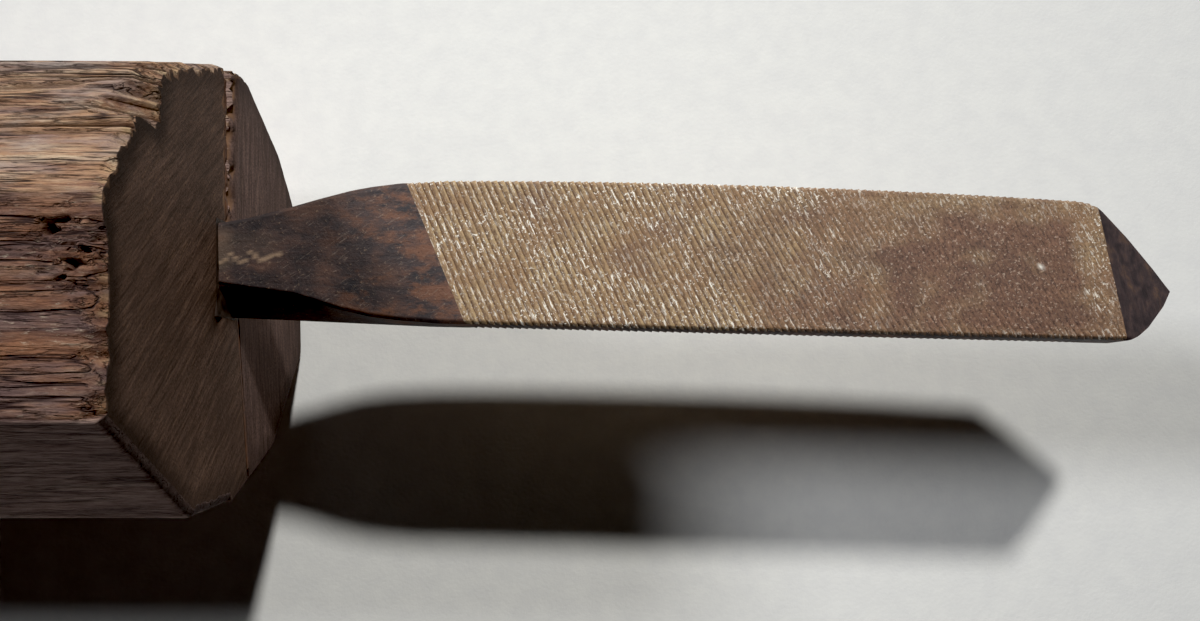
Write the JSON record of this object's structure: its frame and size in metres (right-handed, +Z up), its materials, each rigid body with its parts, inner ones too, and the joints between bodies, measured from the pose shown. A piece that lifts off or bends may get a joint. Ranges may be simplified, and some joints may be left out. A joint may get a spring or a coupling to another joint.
{
  "type": "lino cutter",
  "caption": "Hand-cut faceted wooden handle with a short flat file bedded in it, the file's end ground to a skewed, sloping point for cutting lino.",
  "frame": {"origin": "on the flat that the handle rests on, midway along the handle's length", "axes": "+X along the tool towards its point, +Z up from the rest flat and square to the file's flat faces, +Y across the tool towards the file's bellied edge"},
  "size_m": [0.1763, 0.0312, 0.0325],
  "materials": {
    "file_steel": "worn file teeth over brown, darkened steel",
    "weathered_wood": "weathered, cracked along the grain, unsealed",
    "worn_wood": "dark, worn smooth, unsealed",
    "film_glue": "dried glue, dull",
    "bedding_glue": "dried glue, dull"
  },
  "bodies": {
    "root": {"blade": "file_steel", "handle_upper_half": "weathered_wood", "handle_lower_half": "worn_wood", "seam_glue": "film_glue", "tang_bedding": "bedding_glue"}
  },
  "joints": []
}
